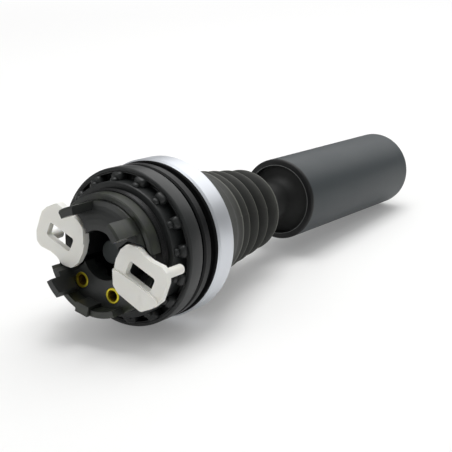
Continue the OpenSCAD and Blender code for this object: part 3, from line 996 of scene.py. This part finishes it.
@dataclass
class GripShell:
    """The grip: a tube with a softly rounded end and a skirt whose mouth has an inner lip."""

    finishes: Finishes
    outer_r: float = 8.75
    rear: float = 45.1
    front: float = 94.0
    lip_r: float = 7.4
    lip_depth: float = 1.1
    skirt_r: float = 7.65
    core_front: float = 91.05
    end_round: float = 1.6
    bead_width: float = 0.16
    bead_height: float = 0.12

    def build(self) -> None:
        """Makes the shell as one turned cup that closes over the moulded core."""
        lip_front, bead_rear = self.rear + self.lip_depth, self.rear - self.bead_height
        bead_r = self.lip_r + self.bead_width
        corners = [
            (0.0, self.core_front, 0.0),
            (self.skirt_r, self.core_front, 0.0),
            (self.skirt_r, lip_front, 0.08),
            (self.lip_r, lip_front, 0.0),
            (self.lip_r, bead_rear, 0.04),
            (bead_r, bead_rear, 0.04),
            (bead_r, self.rear, 0.0),
            (self.outer_r, self.rear, 0.5),
            (self.outer_r, self.front, self.end_round),
            (0.0, self.front, 0.0),
        ]
        profile = filleted(corners, steps=8)
        made = surface("grip_moulding", turned(profile * MM, full_turn()))
        self.finishes.dress(made, "grip_plastic")
        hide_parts("grip_shell")
        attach(made, Body.STICK.value)
        LOG.info("grip shell")


# ---------------------------------------------------------------- stage


@dataclass(frozen=True)
class Lamp:
    """A soft square lamp: its place and size in metres and its power in watts."""

    name: str
    place: tuple[float, float, float]
    size: float
    power: float


@dataclass
class Stage:
    """The pale floor, the soft lamps, the plain world and the camera."""

    floor_point: tuple[float, float, float] = (3.154, 1.860, -14.839)
    floor_normal: tuple[float, float, float] = (-0.2074, -0.0697, 0.9758)
    camera_at: tuple[float, float, float] = (102.60, -151.94, 74.99)
    camera_forward: tuple[float, float, float] = (-0.4675, 0.8105, -0.3530)
    camera_right: tuple[float, float, float] = (0.8043, 0.5557, 0.2106)
    lens: float = 85.75
    floor_colour: str = "#f4f4f3"
    floor_half: float = 4.0
    lamps: tuple[Lamp, ...] = (
        Lamp("key", (-0.14, 0.02, 0.60), 0.34, 2.0),
        Lamp("rear", (-0.30, -0.46, 0.30), 0.35, 0.6),
        Lamp("back", (-0.10, 0.44, 0.40), 0.60, 1.5),
    )
    lamp_aim: tuple[float, float, float] = (0.0, 0.035, 0.0)

    def floor(self) -> None:
        """Lays the floor under the nut's and the grip's edges, square to its normal."""
        normal = Vector(self.floor_normal).normalized()
        side = normal.orthogonal().normalized() * self.floor_half
        other = normal.cross(side)
        centre = Vector(self.floor_point) * MM
        corners = [centre + side * a + other * b for a, b in ((-1, -1), (1, -1), (1, 1), (-1, 1))]
        mesh = bpy.data.meshes.new("floor")
        mesh.from_pydata([tuple(c) for c in corners], [], [(0, 1, 2, 3)])
        made = bpy.data.objects.new("floor", mesh)
        bpy.context.scene.collection.objects.link(made)
        made.data.materials.append(self.floor_paint())

    def floor_paint(self) -> bpy.types.Material:
        """Pale matt floor that keeps the shadow and looks near white to the camera.

        Returns:
            The floor's material, which is see-through from below.
        """
        made = bpy.data.materials.new("pale_floor")
        made.use_nodes = True
        tree = made.node_tree
        tree.nodes.clear()
        side = node(tree, "ShaderNodeNewGeometry")
        matt = node(tree, "ShaderNodeBsdfDiffuse", {"Color": linear(self.floor_colour)})
        glow = node(tree, "ShaderNodeEmission", {"Color": (1.0, 1.0, 1.0, 1.0), "Strength": 1.0})
        away = node(tree, "ShaderNodeVectorMath", {"operation": "LENGTH"}, Vector=side.outputs["Position"])
        share = ranged(tree, away.outputs["Value"], (0.12, 0.6), (0.2, 1.0))
        mix = node(tree, "ShaderNodeMixShader")
        tree.links.new(share, mix.inputs[0])
        tree.links.new(matt.outputs[0], mix.inputs[1])
        tree.links.new(glow.outputs[0], mix.inputs[2])
        clear = node(tree, "ShaderNodeBsdfTransparent")
        both = node(tree, "ShaderNodeMixShader")
        tree.links.new(side.outputs["Backfacing"], both.inputs[0])
        tree.links.new(mix.outputs[0], both.inputs[1])
        tree.links.new(clear.outputs[0], both.inputs[2])
        out = node(tree, "ShaderNodeOutputMaterial")
        tree.links.new(both.outputs[0], out.inputs["Surface"])
        return made

    def world(self) -> None:
        """Soft surround, brighter above the floor than along it, and pure white to the camera."""
        world = bpy.data.worlds.new("surround")
        bpy.context.scene.world = world
        world.use_nodes = True
        tree = world.node_tree
        tree.nodes.clear()
        path = node(tree, "ShaderNodeLightPath")
        place = node(tree, "ShaderNodeTexCoord").outputs["Generated"]
        height = node(tree, "ShaderNodeVectorMath", {"operation": "DOT_PRODUCT"}, Vector=place)
        height.inputs[1].default_value = self.floor_normal
        level = ranged(tree, height.outputs["Value"], wanted=(0.05, 0.6))
        pure = (1.0, 1.0, 1.0, 1.0)
        soft = node(tree, "ShaderNodeBackground", {"Color": pure}, Strength=level)
        white = node(tree, "ShaderNodeBackground", {"Color": pure, "Strength": 1.0})
        mix = node(tree, "ShaderNodeMixShader")
        tree.links.new(path.outputs["Is Camera Ray"], mix.inputs[0])
        tree.links.new(soft.outputs[0], mix.inputs[1])
        tree.links.new(white.outputs[0], mix.inputs[2])
        out = node(tree, "ShaderNodeOutputWorld")
        tree.links.new(mix.outputs[0], out.inputs["Surface"])

    def light(self) -> None:
        """Hangs the lamps, each aimed at the middle of the joystick."""
        for lamp in self.lamps:
            light = bpy.data.lights.new(lamp.name, "AREA")
            light.size, light.energy = lamp.size, lamp.power
            made = bpy.data.objects.new(lamp.name, light)
            made.location = lamp.place
            made.rotation_mode = "QUATERNION"
            towards = Vector(self.lamp_aim) - Vector(lamp.place)
            made.rotation_quaternion = towards.to_track_quat("-Z", "Y")
            bpy.context.scene.collection.objects.link(made)

    def camera(self) -> None:
        """Places the camera by its position, its forward direction and its right-hand direction."""
        forward = Vector(self.camera_forward).normalized()
        right = Vector(self.camera_right)
        right = (right - forward * right.dot(forward)).normalized()
        up = right.cross(forward)
        turn = Matrix((right, up, -forward)).transposed()
        lens = bpy.data.cameras.new("camera")
        lens.lens, lens.sensor_width = self.lens, 36.0
        lens.clip_start, lens.clip_end = 0.01, 20.0
        made = bpy.data.objects.new("camera", lens)
        made.matrix_world = Matrix.Translation(Vector(self.camera_at) * MM) @ turn.to_4x4()
        bpy.context.scene.collection.objects.link(made)
        bpy.context.scene.camera = made

    def build(self) -> None:
        """Builds the whole stage."""
        self.floor()
        self.world()
        self.light()
        self.camera()
        bpy.context.scene.view_settings.view_transform = "Standard"
        LOG.info("stage")


def main() -> None:
    """Builds the joystick piece by piece, then the stage."""
    logging.basicConfig(level=logging.INFO, format="%(message)s")
    finishes = Finishes()
    kinds = (
        PackedNodes,
        Bellows,
        NeckThread,
        CentringSpring,
        RingNut,
        PanelGasket,
        ThreadedInserts,
        GripShell,
    )
    for kind in kinds:
        kind(finishes).build()
    Stage().build()


if __name__ == "__main__":
    main()
